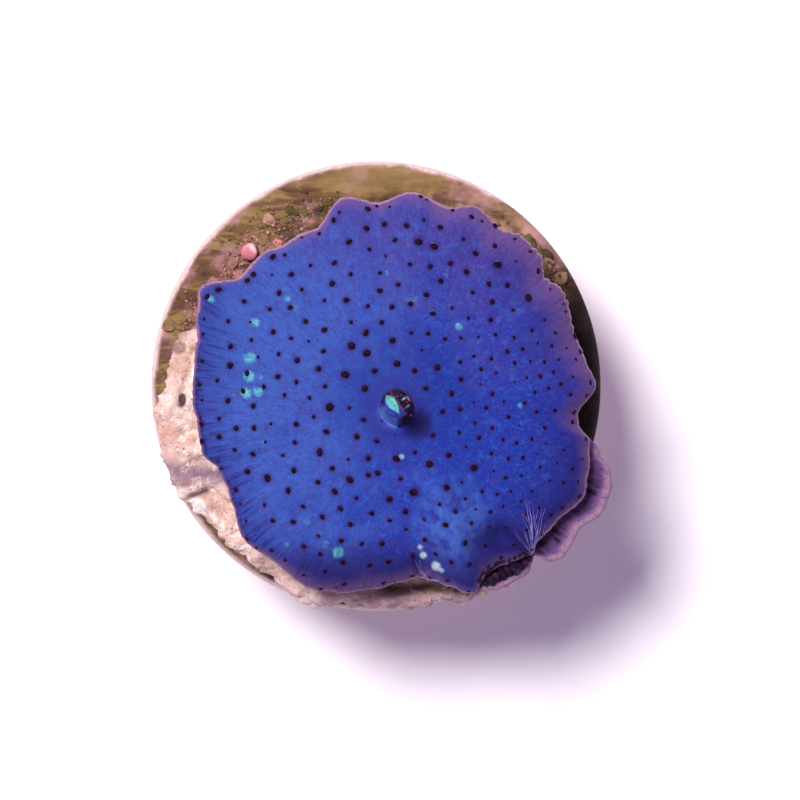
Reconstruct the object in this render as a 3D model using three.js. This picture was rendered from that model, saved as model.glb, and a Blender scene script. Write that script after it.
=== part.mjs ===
// A blue spotted mushroom coral on a piece of rubble rock, glued to a ceramic frag plug.
// Millimetres, +Z up. The origin is the centre of the plug stem's foot. The plug's axis is
// the Z axis, and the coral's own axis stands a little to one side of it.

import * as THREE from 'three';
import { mergeVertices } from 'three/addons/utils/BufferGeometryUtils.js';

// Plug: a stem that drops into a frag rack's hole, and a round head that rests on the rack.
const STEM_FOOT_RADIUS = 5.25;
const STEM_TOP_RADIUS = 5.75;
const STEM_LENGTH = 10;
const STEM_CHAMFER = 0.5;
const HEAD_RADIUS = 15;
const HEAD_THICKNESS = 4;
const HEAD_EDGE_ROUNDING = 1.2;
const PLUG_SEGMENTS = 60;

// Glue: the set pad between the plug's top and the rock's flat underside.
const GLUE_THICKNESS = 0.6;
const GLUE_RADIUS = 9.4;
const GLUE_CENTRE = { x: -0.6, y: -2.4 };
const GLUE_SEGMENTS = 44;

// Rock: a flat-bottomed chip of rubble with a flat seat under the coral's foot.
const ROCK_THICKNESS = 3.2;
const ROCK_SEAT_RADIUS = 6.9;
const ROCK_ROUGHNESS = 0.16;
const ROCK_SEGMENTS = 64;

// Coral: foot, short column, wide thin disc with a folded margin, and the mouth in its middle.
const CORAL_CENTRE = { x: 1.4, y: -1.7 };
const FOOT_RADIUS = 6.4;
const COLUMN_RADIUS = 5.3;
const DISC_RADIUS = 13;
const DISC_RISE = 4.7;
const MARGIN_THICKNESS = 0.5;
const MIDDLE_THICKNESS = 1.3;
const MOUTH_RADIUS = 1.2;
const MOUTH_HEIGHT = 1.8;
const CORAL_SEGMENTS = 80;

// Reach of the rock round the coral's axis, at its turning points: degrees, millimetres.
const ROCK_REACH = [
  [20, 8.8], [60, 8.6], [112, 10.6], [136, 13.8], [150, 14.2], [170, 15.7], [186, 15.6],
  [206, 14.7], [224, 13.8], [240, 14.2], [268, 13.1], [290, 13.7], [312, 10.8], [340, 9.2],
];

// Reach of the disc's margin round the same axis, at its lobes and notches.
const MARGIN_REACH = [
  [8, 13.0], [24, 12.6], [36, 13.3], [43, 12.9], [54, 13.9], [76, 13.7], [88, 14.2],
  [95, 13.6], [104, 14.2], [114, 12.9], [134, 13.3], [148, 14.9], [162, 13.6], [182, 12.9],
  [203, 12.0], [222, 12.9], [246, 12.6], [280, 10.8], [304, 12.9], [313, 12.4], [334, 14.7],
  [349, 12.8], [358, 11.8],
];

// How far the margin hangs below the middle of the disc, round the same axis.
const MARGIN_DROP = [
  [0, 2.5], [45, 1.6], [90, 1.2], [150, 1.0], [185, 1.2], [225, 1.6], [270, 2.6],
  [298, 3.1], [316, 3.5], [336, 3.3],
];

const smooth = (value, from, to) => THREE.MathUtils.smoothstep(value, from, to);

/** A bell that is 1 at the middle and falls to 0 at the given half width. */
const bell = (value, middle, halfWidth) => 1 - smooth(Math.abs(value - middle), 0, halfWidth);

/** The value at an angle in degrees of a closed ring of [degrees, value] turning points. */
function around(ring, degrees) {
  const turn = ((degrees % 360) + 360) % 360;
  const next = ring.findIndex(([angle]) => angle > turn);
  const [angleB, valueB] = ring[Math.max(next, 0)];
  const [angleA, valueA] = ring[(Math.max(next, 0) + ring.length - 1) % ring.length];
  const width = (angleB - angleA + 360) % 360;
  const along = (turn - angleA + 360) % 360;
  return THREE.MathUtils.lerp(valueA, valueB, smooth(along / width, 0, 1));
}

/** A closed solid turned about +Z from [radius, height] points that start and end on the axis. */
function turned(points, segments) {
  const profile = points.map(([radius, height]) => new THREE.Vector2(radius, height));
  const geometry = new THREE.LatheGeometry(profile, segments);
  geometry.deleteAttribute('normal');
  geometry.deleteAttribute('uv');
  geometry.rotateX(Math.PI / 2);
  return mergeVertices(geometry, 1e-4);
}

/** Moves every point of a turned solid; shape gives [radius, height] from radius, height, degrees. */
function reshaped(geometry, shape, centre) {
  const position = geometry.attributes.position;
  for (let i = 0; i < position.count; i += 1) {
    const x = position.getX(i);
    const y = position.getY(i);
    const degrees = THREE.MathUtils.radToDeg(Math.atan2(y, x));
    const [radius, height] = shape(Math.hypot(x, y), position.getZ(i), degrees);
    const angle = THREE.MathUtils.degToRad(degrees);
    position.setXYZ(
      i, centre.x + radius * Math.cos(angle), centre.y + radius * Math.sin(angle), height);
  }
  return geometry;
}

/** A named mesh with its own finish and flat or smooth vertex normals. */
function piece(name, geometry, finish) {
  geometry.computeVertexNormals();
  const mesh = new THREE.Mesh(geometry, new THREE.MeshStandardMaterial(finish));
  mesh.name = name;
  return mesh;
}

/** Points of a quarter round from one direction to another, in degrees. */
function rounding(centreRadius, centreHeight, size, fromDegrees, toDegrees, steps) {
  return Array.from({ length: steps + 1 }, (_, step) => {
    const angle = THREE.MathUtils.degToRad(
      THREE.MathUtils.lerp(fromDegrees, toDegrees, step / steps));
    return [centreRadius + size * Math.cos(angle), centreHeight + size * Math.sin(angle)];
  });
}

/** The ceramic plug: chamfered stem and round-edged head in one casting. */
function plug() {
  const top = STEM_LENGTH + HEAD_THICKNESS;
  const edge = HEAD_RADIUS - HEAD_EDGE_ROUNDING;
  return turned([
    [0, 0],
    [STEM_FOOT_RADIUS - STEM_CHAMFER, 0],
    [STEM_FOOT_RADIUS, STEM_CHAMFER],
    [STEM_TOP_RADIUS, STEM_LENGTH],
    ...rounding(edge, STEM_LENGTH + HEAD_EDGE_ROUNDING, HEAD_EDGE_ROUNDING, -90, 0, 3),
    ...rounding(edge, top - HEAD_EDGE_ROUNDING, HEAD_EDGE_ROUNDING, 0, 90, 3),
    [0, top],
  ], PLUG_SEGMENTS);
}

/** The glue pad: a low blob with a wavy, rounded edge. */
function gluePad() {
  const foot = STEM_LENGTH + HEAD_THICKNESS;
  const top = foot + GLUE_THICKNESS;
  const blank = turned([
    [0, foot],
    [GLUE_RADIUS - 0.1, foot],
    [GLUE_RADIUS, foot + 0.2],
    [GLUE_RADIUS - 0.3, top],
    [0, top],
  ], GLUE_SEGMENTS);
  const wavy = (radius, height, degrees) => {
    const angle = THREE.MathUtils.degToRad(degrees);
    const wave = 0.06 * Math.sin(3 * angle) + 0.04 * Math.sin(5 * angle + 1);
    return [radius * (1 + wave), height];
  };
  return reshaped(blank, wavy, GLUE_CENTRE);
}

/** The rubble chip: wandering outline, battered side, uneven top round the flat seat. */
function rubbleRock() {
  const foot = STEM_LENGTH + HEAD_THICKNESS + GLUE_THICKNESS;
  const top = foot + ROCK_THICKNESS;
  const reach = 14;
  const blank = turned([
    [0, foot],
    [reach - 4.5, foot],
    [reach - 1.0, foot],
    [reach - 0.3, foot + 0.7],
    [reach, foot + 1.4],
    [reach - 0.4, foot + 2.1],
    [reach - 1.3, foot + 2.5],
    [reach - 2.8, foot + 2.6],
    [reach - 4.6, foot + 2.9],
    [ROCK_SEAT_RADIUS, top],
    [0, top],
  ], ROCK_SEGMENTS);
  const battered = (radius, height, degrees) => {
    const angle = THREE.MathUtils.degToRad(degrees);
    const outside = smooth(radius, ROCK_SEAT_RADIUS, reach);
    const stretch = THREE.MathUtils.lerp(1, around(ROCK_REACH, degrees) / reach, outside);
    const onTop = height > foot + 0.3 ? 1 : 0;
    const lumps = Math.sin(7 * angle + 1.3 * radius) + Math.sin(11 * angle - 0.9 * radius);
    const sideLumps = Math.sin(9 * angle + 2 * height) + Math.sin(17 * angle - height);
    return [
      radius * stretch + ROCK_ROUGHNESS * outside * onTop * sideLumps,
      height + ROCK_ROUGHNESS * outside * onTop * lumps,
    ];
  };
  return reshaped(blank, battered, CORAL_CENTRE);
}

/** The coral: one fleshy body from the foot on the rock to the thin folded margin. */
function mushroomPolyp() {
  const seat = STEM_LENGTH + HEAD_THICKNESS + GLUE_THICKNESS + ROCK_THICKNESS;
  const top = seat + DISC_RISE;
  const steps = 8;
  const upper = Array.from({ length: steps + 1 }, (_, step) => {
    const radius = THREE.MathUtils.lerp(DISC_RADIUS - 0.15, MOUTH_RADIUS + 0.5, step / steps);
    return [radius, top];
  });
  const under = Array.from({ length: steps - 1 }, (_, step) => {
    const radius = THREE.MathUtils.lerp(COLUMN_RADIUS + 0.9, DISC_RADIUS - 0.15, step / (steps - 2));
    const share = smooth(radius, COLUMN_RADIUS, DISC_RADIUS);
    return [radius, top - THREE.MathUtils.lerp(MIDDLE_THICKNESS, MARGIN_THICKNESS, share)];
  });
  const blank = turned([
    [0, seat],
    [FOOT_RADIUS - 0.3, seat],
    [FOOT_RADIUS, seat + 0.25],
    [COLUMN_RADIUS + 0.3, seat + 0.9],
    [COLUMN_RADIUS, seat + 1.9],
    [COLUMN_RADIUS + 0.1, seat + 2.8],
    ...under,
    [DISC_RADIUS, top - MARGIN_THICKNESS / 2],
    ...upper,
    [MOUTH_RADIUS, top + 0.25 * MOUTH_HEIGHT],
    [0.92 * MOUTH_RADIUS, top + 0.7 * MOUTH_HEIGHT],
    [0.55 * MOUTH_RADIUS, top + MOUTH_HEIGHT],
    [0, top + MOUTH_HEIGHT],
  ], CORAL_SEGMENTS);
  const grown = (radius, height, degrees) => {
    const turn = ((degrees % 360) + 360) % 360;
    const outside = smooth(radius, COLUMN_RADIUS, DISC_RADIUS);
    const stretch = THREE.MathUtils.lerp(1, around(MARGIN_REACH, turn) / DISC_RADIUS, outside);
    const inDisc = smooth(height, seat + 1.9, seat + 3.0) * smooth(radius, MOUTH_RADIUS, 3);
    const drop = around(MARGIN_DROP, turn) * (radius / DISC_RADIUS) ** 3;
    const hump = 0.8 * bell(turn, 297, 20) * bell(radius, 8.5, 5);
    const valley = 0.6 * bell(turn, 313, 14) * bell(radius, 10.5, 4.5);
    return [radius * stretch, height + inDisc * (hump - valley - drop)];
  };
  return reshaped(blank, grown, CORAL_CENTRE);
}

const model = new THREE.Group();
model.add(piece('plug', plug(), { color: 0xc4a78f, roughness: 0.9, metalness: 0 }));
model.add(piece('glue_pad', gluePad(), { color: 0xe4ddd6, roughness: 0.5, metalness: 0 }));
model.add(piece('rubble_rock', rubbleRock(), { color: 0xe6d0c4, roughness: 0.95, metalness: 0 }));
model.add(piece('mushroom_polyp', mushroomPolyp(), { color: 0x3c4cae, roughness: 0.6, metalness: 0 }));

export default model;
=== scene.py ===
"""The finish of a blue spotted mushroom coral on its rubble rock and ceramic frag plug.

Laid out as an add-on and run as a script. Every piece is worked out in millimetres in the
frame of the part, then brought to metres, and stays at the origin with its place in its mesh.
"""

import math
import random

import bmesh
import bpy
import numpy as np
from mathutils import Matrix, Vector, noise


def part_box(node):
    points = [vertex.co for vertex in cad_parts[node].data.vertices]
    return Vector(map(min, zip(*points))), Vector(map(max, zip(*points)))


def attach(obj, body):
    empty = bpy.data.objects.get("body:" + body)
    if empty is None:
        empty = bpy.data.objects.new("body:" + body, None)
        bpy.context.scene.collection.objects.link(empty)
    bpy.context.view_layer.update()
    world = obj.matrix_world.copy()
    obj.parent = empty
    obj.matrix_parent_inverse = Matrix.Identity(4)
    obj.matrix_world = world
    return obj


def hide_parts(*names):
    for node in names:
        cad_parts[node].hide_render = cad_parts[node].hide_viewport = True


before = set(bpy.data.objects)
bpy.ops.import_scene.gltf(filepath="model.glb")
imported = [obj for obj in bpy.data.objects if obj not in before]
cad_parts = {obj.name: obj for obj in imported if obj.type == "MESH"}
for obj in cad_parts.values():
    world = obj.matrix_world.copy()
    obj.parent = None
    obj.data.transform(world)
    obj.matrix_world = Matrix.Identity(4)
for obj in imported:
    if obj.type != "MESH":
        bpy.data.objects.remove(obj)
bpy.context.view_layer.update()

bl_info = {
    "name": "Mushroom Coral",
    "version": (1, 0, 0),
    "blender": (4, 5, 0),
    "location": "View3D > Sidebar > Coral",
    "description": "Grows a spotted mushroom coral on a rock and a frag plug",
    "category": "Add Mesh",
}

MM = 0.001
BODY = "root"
SEED = 11

# The coral's own axis, through its mouth, beside the plug's axis, in millimetres.
AXIS = (1.4, -1.7)

# The rings below are turning points round the mouth: degrees, then a value.

# Reach of the disc's margin at its lobes and notches, in millimetres.
MARGIN_REACH = [
    (8, 13.05), (15, 12.7), (23, 12.6), (37, 13.3), (42, 12.95), (48, 13.8), (55, 13.95),
    (60, 13.6), (69, 14.2), (76, 13.6), (86, 14.2), (95, 13.55), (104, 14.25), (114, 12.9),
    (119, 13.05), (124, 13.0), (130, 13.4), (139, 13.3), (148, 14.95), (153, 14.4), (161, 13.6),
    (170, 13.3), (177, 13.2), (183, 12.9), (192, 12.85), (198, 12.1), (204, 12.0), (209, 12.2),
    (220, 12.9), (231, 12.55), (243, 12.8), (251, 12.4), (263, 11.6), (271, 11.1), (277, 10.85),
    (282, 11.2), (287, 11.85), (291, 12.6), (293.5, 12.85), (296, 12.4), (299, 12.08),
    (303, 12.05), (307, 12.3), (310.5, 12.6), (313.5, 12.85), (317, 12.5), (325, 12.65),
    (336, 13.4), (342, 13.1), (351, 12.7), (356, 11.85), (359, 11.75),
]
# Reach of the lower lip that comes out again from under the margin on the folded side.
LIP_REACH = [
    (0, 12.4), (290, 12.6), (296, 12.8), (300, 13.1), (304, 13.2), (309, 13.4), (312, 13.2),
    (313.7, 13.0), (315.5, 13.95), (319, 14.25), (323, 14.15), (327, 14.0), (334, 14.75),
    (340, 14.7), (344, 14.4), (348.5, 13.4), (352, 13.0),
]
# How strongly the margin is folded under and out again.
FOLD = [
    (0, 0.0), (292, 0.0), (296, 0.8), (301, 1.0), (309, 1.0), (313.7, 0.45), (317, 1.0),
    (340, 1.0), (348, 0.75), (353, 0.0),
]
# How deep the fold goes: shallow at the beaded lip, deep under the lower lobe.
FOLD_DEPTH = [(0, 0.7), (294, 0.45), (309, 0.45), (314, 0.6), (319, 1.0), (340, 1.0), (350, 0.8)]
# How dark the hollow inside the fold is: painted shade under the overhanging margin.
HOLLOW = [
    (0, 0.3), (293, 1.0), (322, 1.0), (328, 0.45), (332, 0.7), (337, 1.0), (342, 0.6),
    (346, 0.3), (350, 0.2),
]
# How far the disc falls from its middle to its margin, in millimetres, before it rolls over.
DISC_FALL = [
    (0, 1.3), (45, 1.1), (90, 0.9), (125, 0.9), (148, 0.4), (165, 0.7), (200, 1.1), (235, 1.3),
    (270, 1.5), (300, 1.6), (314, 1.9), (336, 1.7),
]
# How far the margin has rolled over at its edge, in degrees.
ROLL = [
    (0, 62), (25, 54), (50, 38), (75, 26), (100, 22), (130, 20), (148, 5), (165, 20),
    (190, 30), (225, 40), (255, 58), (275, 66), (292, 45), (303, 50), (313.7, 70), (335, 62),
]
# Width of the mauve band along the margin, in millimetres, and strength of its pale edge.
BAND_WIDTH = [
    (0, 1.4), (40, 2.0), (62, 1.9), (90, 0.8), (140, 0.35), (165, 0.12), (210, 0.12), (255, 1.0),
    (280, 0.9), (293, 0.5), (299, 0.85), (309, 0.8), (315, 0.3), (340, 0.7),
]
EDGE_PALENESS = [
    (0, 1.0), (60, 0.9), (120, 0.9), (150, 0.9), (161, 0.3), (172, 0.0), (215, 0.1),
    (232, 0.5), (260, 0.75), (288, 1.0), (298, 0.5), (308, 0.5), (316, 1.0),
]

# Soft cyan and cream blotches of the disc: x and y from the mouth and size in millimetres,
# then strength.
CYAN_BLOTCHES = [
    (-9.5, 3.5, 0.46, 1.0), (-9.6, 2.3, 0.42, 1.0), (-8.8, 2.2, 0.22, 0.8), (-9.8, 1.2, 0.42, 0.9),
    (-9.0, 1.3, 0.38, 0.8), (-10.6, 1.1, 0.2, 0.5), (-9.2, 5.8, 0.34, 0.8), (-7.1, 7.4, 0.3, 0.6),
    (-6.6, 6.7, 0.4, 0.3), (-5.9, 6.0, 0.22, 0.4), (-12.0, 7.3, 0.28, 0.8), (-3.8, -9.1, 0.42, 0.9),
    (-4.6, -8.6, 0.3, 0.5), (-5.0, -7.9, 0.22, 0.5), (-5.8, -7.1, 0.26, 0.4), (-7.1, -8.6, 0.2, 0.5),
    (8.0, 0.4, 0.24, 0.8), (4.0, 5.5, 0.26, 0.8), (2.3, 6.5, 0.22, 0.5), (0.9, 7.3, 0.5, 0.25),
    (3.2, 8.8, 0.2, 0.4), (6.5, 9.6, 0.24, 0.4), (7.9, 8.2, 0.28, 0.35), (2.4, 10.8, 0.3, 0.3),
    (5.0, -8.0, 0.22, 0.5), (2.0, -3.8, 0.5, 0.2), (-8.6, -2.0, 0.2, 0.4), (0.9, -8.9, 0.25, 0.3),
    (-5.6, 3.0, 0.3, 0.3), (-2.4, 7.0, 0.25, 0.3), (3.9, -11.6, 0.25, 0.3), (-0.6, 9.0, 0.2, 0.4),
    (7.7, 4.1, 0.3, 0.25), (-6.4, -0.4, 0.4, 0.15),
]
CREAM_BLOTCHES = [
    (0.3, -2.9, 0.2, 0.7), (1.5, -8.8, 0.2, 0.8), (1.7, -9.3, 0.26, 1.0), (2.5, -10.0, 0.34, 1.0),
    (2.9, -10.3, 0.2, 0.7), (2.1, -10.3, 0.2, 0.4), (-9.3, 5.9, 0.2, 0.4), (-1.0, -8.0, 0.16, 0.4),
    (3.9, 5.6, 0.14, 0.2), (-6.9, 1.4, 0.12, 0.4),
]

# The largest tubercles: x and y from the mouth and radius, in millimetres.
LARGE_TUBERCLES = [
    (-3.35, 2.4, 0.27), (-2.95, 4.25, 0.25), (-1.95, 3.8, 0.26), (0.0, 3.1, 0.22),
    (-2.0, 5.1, 0.21), (2.6, 2.85, 0.22), (-4.35, 0.3, 0.26), (-2.6, -1.6, 0.2),
    (-5.0, -2.6, 0.24), (-3.05, -4.4, 0.25), (-1.25, -3.95, 0.2), (-1.85, -4.1, 0.17),
    (-1.85, -3.0, 0.19), (-0.5, -5.65, 0.23), (1.1, -5.2, 0.29), (2.1, -3.4, 0.25),
    (3.35, -2.8, 0.2), (5.0, -3.6, 0.26), (3.2, -4.9, 0.22), (2.95, 0.0, 0.17),
    (1.4, 11.0, 0.25), (2.4, 10.7, 0.25), (6.5, 9.5, 0.28), (8.5, 7.35, 0.26),
    (-8.4, -4.3, 0.25), (-3.1, 11.0, 0.21), (-10.8, 3.0, 0.21), (-4.2, 8.3, 0.2),
]

# Pale lines of stretched flesh that run to the pinch, and by the crease beside the hump:
# thickness, then places from the mouth.
STRETCH_LINES = [
    (1.0, [(8.45, -5.8), (8.6, -6.7), (8.8, -7.7), (8.86, -9.2)]),
    (1.0, [(9.0, -6.1), (8.95, -7.2), (9.12, -7.8), (8.9, -9.1)]),
    (0.9, [(8.2, -6.6), (8.6, -7.6), (8.79, -8.6), (8.84, -9.2)]),
    (0.8, [(9.5, -6.3), (9.3, -7.3), (9.15, -8.3), (8.9, -9.1)]),
    (0.5, [(8.0, -7.2), (8.4, -8.1), (8.7, -9.0)]),
    (0.5, [(9.9, -7.0), (9.6, -7.9), (9.2, -8.6), (8.95, -9.2)]),
    (0.4, [(7.5, -7.6), (8.1, -8.4), (8.75, -9.2)]),
    (0.8, [(1.3, -9.6), (1.5, -10.3), (2.0, -10.85), (2.7, -11.1)]),
    (0.5, [(0.9, -10.4), (1.3, -10.7), (1.8, -10.9)]),
]


def ring(knots, degrees):
    """Values at some angles of a closed ring of (degrees, value) turning points, eased between."""
    turn = np.mod(degrees, 360.0)
    at = np.array([knot[0] for knot in knots], float)
    value = np.array([knot[1] for knot in knots], float)
    after = np.searchsorted(at, turn, side="right") % len(at)
    before = after - 1
    along = np.mod(turn - at[before], 360.0) / np.mod(at[after] - at[before], 360.0)
    return value[before] + (value[after] - value[before]) * along * along * (3 - 2 * along)


def ease(value, low, high):
    """0 at low, 1 at high and smooth between them."""
    share = np.clip((value - low) / (high - low), 0.0, 1.0)
    return share * share * (3 - 2 * share)


def mix(start, end, share):
    """The value a share of the way from start to end."""
    return start + (end - start) * share


def mound(x, y, start, end, width):
    """A rounded ridge along a straight line from start to end, 1 on the line."""
    run = np.array(end, float) - start
    along = np.clip(((x - start[0]) * run[0] + (y - start[1]) * run[1]) / (run @ run), 0, 1)
    away = np.hypot(x - start[0] - along * run[0], y - start[1] - along * run[1])
    return np.exp(-((away / width) ** 2))


def blotches(x, y, spots):
    """How strongly round soft-edged spots show at some places, 0 to 1."""
    shown = 0.0 * x
    for spot_x, spot_y, size, strength in spots:
        away = np.hypot(x - spot_x, y - spot_y) / size
        shown = np.maximum(shown, strength * ease(away, 1.35, 0.45))
    return shown


def fractal(points, scale, octaves=4):
    """Fractal noise, about -1 to 1, at an array of points, with features about scale wide."""
    flat = points.reshape(-1, 3) / scale
    values = [noise.fractal(Vector(point), 0.9, 2.0, octaves) for point in flat]
    return np.array(values).reshape(points.shape[:-1])


# ---------------------------------------------------------------- shader expressions


class Socket:
    """A shader socket. Arithmetic on it adds Math nodes, and node() adds any other node."""

    def __init__(self, tree, socket=None):
        self.tree = tree
        self.socket = socket

    def node(self, kind, settings=None, inputs=None, output=0):
        """Adds a node: its settings are set first, then its sockets' values or links."""
        made = self.tree.nodes.new(kind)
        for key, value in (settings or {}).items():
            if key == "stops":
                self._stops(made.color_ramp, value)
            else:
                setattr(made, key, value)
        for key, value in (inputs or {}).items():
            if isinstance(value, Socket):
                self.tree.links.new(value.socket, made.inputs[key])
            else:
                made.inputs[key].default_value = value
        return Socket(self.tree, made.outputs[output])

    @staticmethod
    def _stops(ramp, stops):
        while len(ramp.elements) < len(stops):
            ramp.elements.new(1.0)
        for element, (position, colour) in zip(ramp.elements, stops):
            element.position = position
            element.color = colour

    def math(self, operation, first, second=0.0):
        return self.node("ShaderNodeMath", {"operation": operation}, {0: first, 1: second})

    def __add__(self, other):
        return self.math("ADD", self, other)

    __radd__ = __add__

    def __sub__(self, other):
        return self.math("SUBTRACT", self, other)

    def __rsub__(self, other):
        return self.math("SUBTRACT", other, self)

    def __mul__(self, other):
        return self.math("MULTIPLY", self, other)

    __rmul__ = __mul__

    def __truediv__(self, other):
        return self.math("DIVIDE", self, other)

    def __rtruediv__(self, other):
        return self.math("DIVIDE", other, self)

    def __abs__(self):
        return self.math("ABSOLUTE", self)

    def between(self, low, high):
        """0 below low, 1 above high and smooth between; low may be the larger one."""
        if low > high:
            return 1 - self.between(high, low)
        return self.node(
            "ShaderNodeMapRange", {"interpolation_type": "SMOOTHSTEP"},
            {"Value": self, "From Min": low, "From Max": high})


def colour_mix(factor, first, second):
    """A colour between two colours."""
    return factor.node(
        "ShaderNodeMix", {"data_type": "RGBA"}, {0: factor, 6: first, 7: second}, output=2)


def tint(red, green, blue):
    """A linear colour with alpha from 0 to 255 display values."""
    def linear(value):
        share = value / 255
        return share / 12.92 if share <= 0.04045 else ((share + 0.055) / 1.055) ** 2.4
    return (linear(red), linear(green), linear(blue), 1.0)


def start_material(name, settings):
    """A new material: returns it, its coordinates in millimetres and its principled shader."""
    material = bpy.data.materials.new(name)
    material.use_nodes = True
    tree = material.node_tree
    principled = tree.nodes["Principled BSDF"]
    for key, value in settings.items():
        principled.inputs[key].default_value = value
    start = Socket(tree)
    coordinates = start.node("ShaderNodeTexCoord", output="Object")
    millimetres = start.node(
        "ShaderNodeVectorMath", {"operation": "SCALE"}, {0: coordinates, "Scale": 1 / MM})
    return material, millimetres, principled


def link(value, principled, name):
    """Feeds one of the principled shader's inputs."""
    value.tree.links.new(value.socket, principled.inputs[name])


def grain(vector, scale, detail=3.0, roughness=0.55, distortion=0.0):
    """Noise, about 0 to 1, with a given number of features in each millimetre."""
    return vector.node(
        "ShaderNodeTexNoise", None,
        {"Vector": vector, "Scale": scale, "Detail": detail, "Roughness": roughness,
         "Distortion": distortion})


def cells(vector, scale, feature="F1", randomness=1.0):
    """Distance to the nearest of some scattered points."""
    return vector.node(
        "ShaderNodeTexVoronoi", {"feature": feature},
        {"Vector": vector, "Scale": scale, "Randomness": randomness})


def axes_of(vector):
    """The X and Y parts of a vector."""
    return [vector.node("ShaderNodeSeparateXYZ", None, {0: vector}, output=axis) for axis in "XY"]


def vector_of(**parts):
    """A vector from some of its X, Y and Z parts."""
    first = next(iter(parts.values()))
    return first.node("ShaderNodeCombineXYZ", None, parts)


def spot(across, along, centre, size, inner=0.6):
    """A soft-edged oval, 1 inside; the smaller inner is, the softer its edge."""
    first = (across - centre[0]) / size[0]
    second = (along - centre[1]) / size[1]
    return (first * first + second * second).between(1.25, inner)


def attribute(value, name):
    """A value stored on the piece's own points."""
    return value.node("ShaderNodeAttribute", {"attribute_name": name}, output="Fac")


def bump(height, distance, strength=1.0, under=None):
    """A bumped normal from a height, optionally over another bump."""
    inputs = {"Height": height, "Distance": distance * MM, "Strength": strength}
    if under is not None:
        inputs["Normal"] = under
    return height.node("ShaderNodeBump", None, inputs)


# ---------------------------------------------------------------- mesh helpers


def around(centre, radius, height, degrees):
    """Points at radius and height round a vertical axis, as one array."""
    angle = np.radians(degrees)
    x = centre[0] + radius * np.cos(angle)
    y = centre[1] + radius * np.sin(angle)
    return np.stack(np.broadcast_arrays(x, y, height), axis=-1)


def rolled(points, layers=None):
    """A closed skin over points[row, step]: a grid rolled round, its seam and poles merged."""
    rows, steps = points.shape[:2]
    bm = bmesh.new()
    bmesh.ops.create_grid(bm, x_segments=steps, y_segments=rows - 1, size=0.5)
    made = {name: bm.verts.layers.float.new(name) for name in (layers or {})}
    for vert in bm.verts:
        row = round((vert.co.y + 0.5) * (rows - 1))
        step = round((vert.co.x + 0.5) * steps) % steps
        vert.co = points[row, step]
        for name, layer in made.items():
            vert[layer] = layers[name][row, step]
    bmesh.ops.remove_doubles(bm, verts=bm.verts, dist=1e-6)
    return bm


def stamp(bm, template, matrix, name=None, value=0.0):
    """Adds a moved copy of a small mesh, with one value on its points."""
    before = len(bm.verts)
    copy = template.copy()
    copy.transform(matrix)
    bm.from_mesh(copy)
    bpy.data.meshes.remove(copy)
    bm.verts.ensure_lookup_table()
    if name:
        layer = bm.verts.layers.float[name]
        for vert in bm.verts[before:]:
            vert[layer] = value
    return bm.verts[before:]


def small_mesh(make, name=None, value=None):
    """A mesh to stamp, from a function that fills a bmesh, and a value for each point."""
    bm = bmesh.new()
    make(bm)
    if name:
        layer = bm.verts.layers.float.new(name)
        for vert in bm.verts:
            vert[layer] = value(vert.co)
    mesh = bpy.data.meshes.new("stamp")
    bm.to_mesh(mesh)
    bm.free()
    return mesh


def finish_piece(bm, name, material, node):
    """Makes the object from millimetre points, in its place, parents it to the body and hides the
    model's part it stands for.
    """
    bmesh.ops.scale(bm, vec=(MM, MM, MM), verts=bm.verts)
    bmesh.ops.recalc_face_normals(bm, faces=bm.faces)
    for face in bm.faces:
        face.smooth = True
    mesh = bpy.data.meshes.new(name)
    bm.to_mesh(mesh)
    bm.free()
    place_piece(mesh, name, material, node)


def place_piece(data, name, material, node):
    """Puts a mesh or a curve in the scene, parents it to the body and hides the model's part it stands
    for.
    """
    data.materials.append(material)
    made = bpy.data.objects.new(name, data)
    bpy.context.scene.collection.objects.link(made)
    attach(made, BODY)
    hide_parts(node)


# ---------------------------------------------------------------- the coral's form


DOME_ROWS = 74
ROLL_ROWS = 10
FOLD_ROWS = (6, 7, 9)
ROLL_SIZE = 1.5
EDGE_ROW = DOME_ROWS + ROLL_ROWS
MOUTH_HEIGHT = 1.75


def disc_features(x, y, share):
    """Height of the hump, the valley by the pinch, the creases and the ripples of the disc."""
    degrees = np.degrees(np.arctan2(y, x))
    turn = np.radians(degrees)
    hump = 1.15 * mound(x, y, (2.7, -5.2), (4.5, -9.6), 1.35)
    valley = -1.1 * mound(x, y, (6.7, -8.2), (8.9, -9.6), 0.9)
    crease = -0.5 * mound(x, y, (1.35, -9.7), (1.8, -11.2), 0.32)
    ridge = 0.25 * mound(x, y, (1.9, -9.9), (2.4, -11.2), 0.3)
    saddle = 0.2 * mound(x, y, (-3.0, -8.5), (0.2, -9.3), 1.2)
    swell = np.sin(5 * turn + 0.7) + 0.8 * np.sin(9 * turn + 2.2) + 0.6 * np.sin(14 * turn)
    fold = np.sin(31 * turn + 0.6 * np.sin(7 * turn)) * np.sin(3 * turn + 1.0) ** 2
    left = ease(np.abs(np.mod(degrees, 360) - 200), 40, 15)
    wrinkle = np.sin(97 * turn + 2.2 * np.sin(11 * turn)) + 0.6 * np.sin(61 * turn + 1.4)
    return (
        hump + valley + crease + ridge + saddle
        + share ** 3 * 0.10 * swell
        + ease(share, 0.7, 1.0) * (0.06 * fold + 0.028 * (0.3 + left) * wrinkle))


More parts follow.
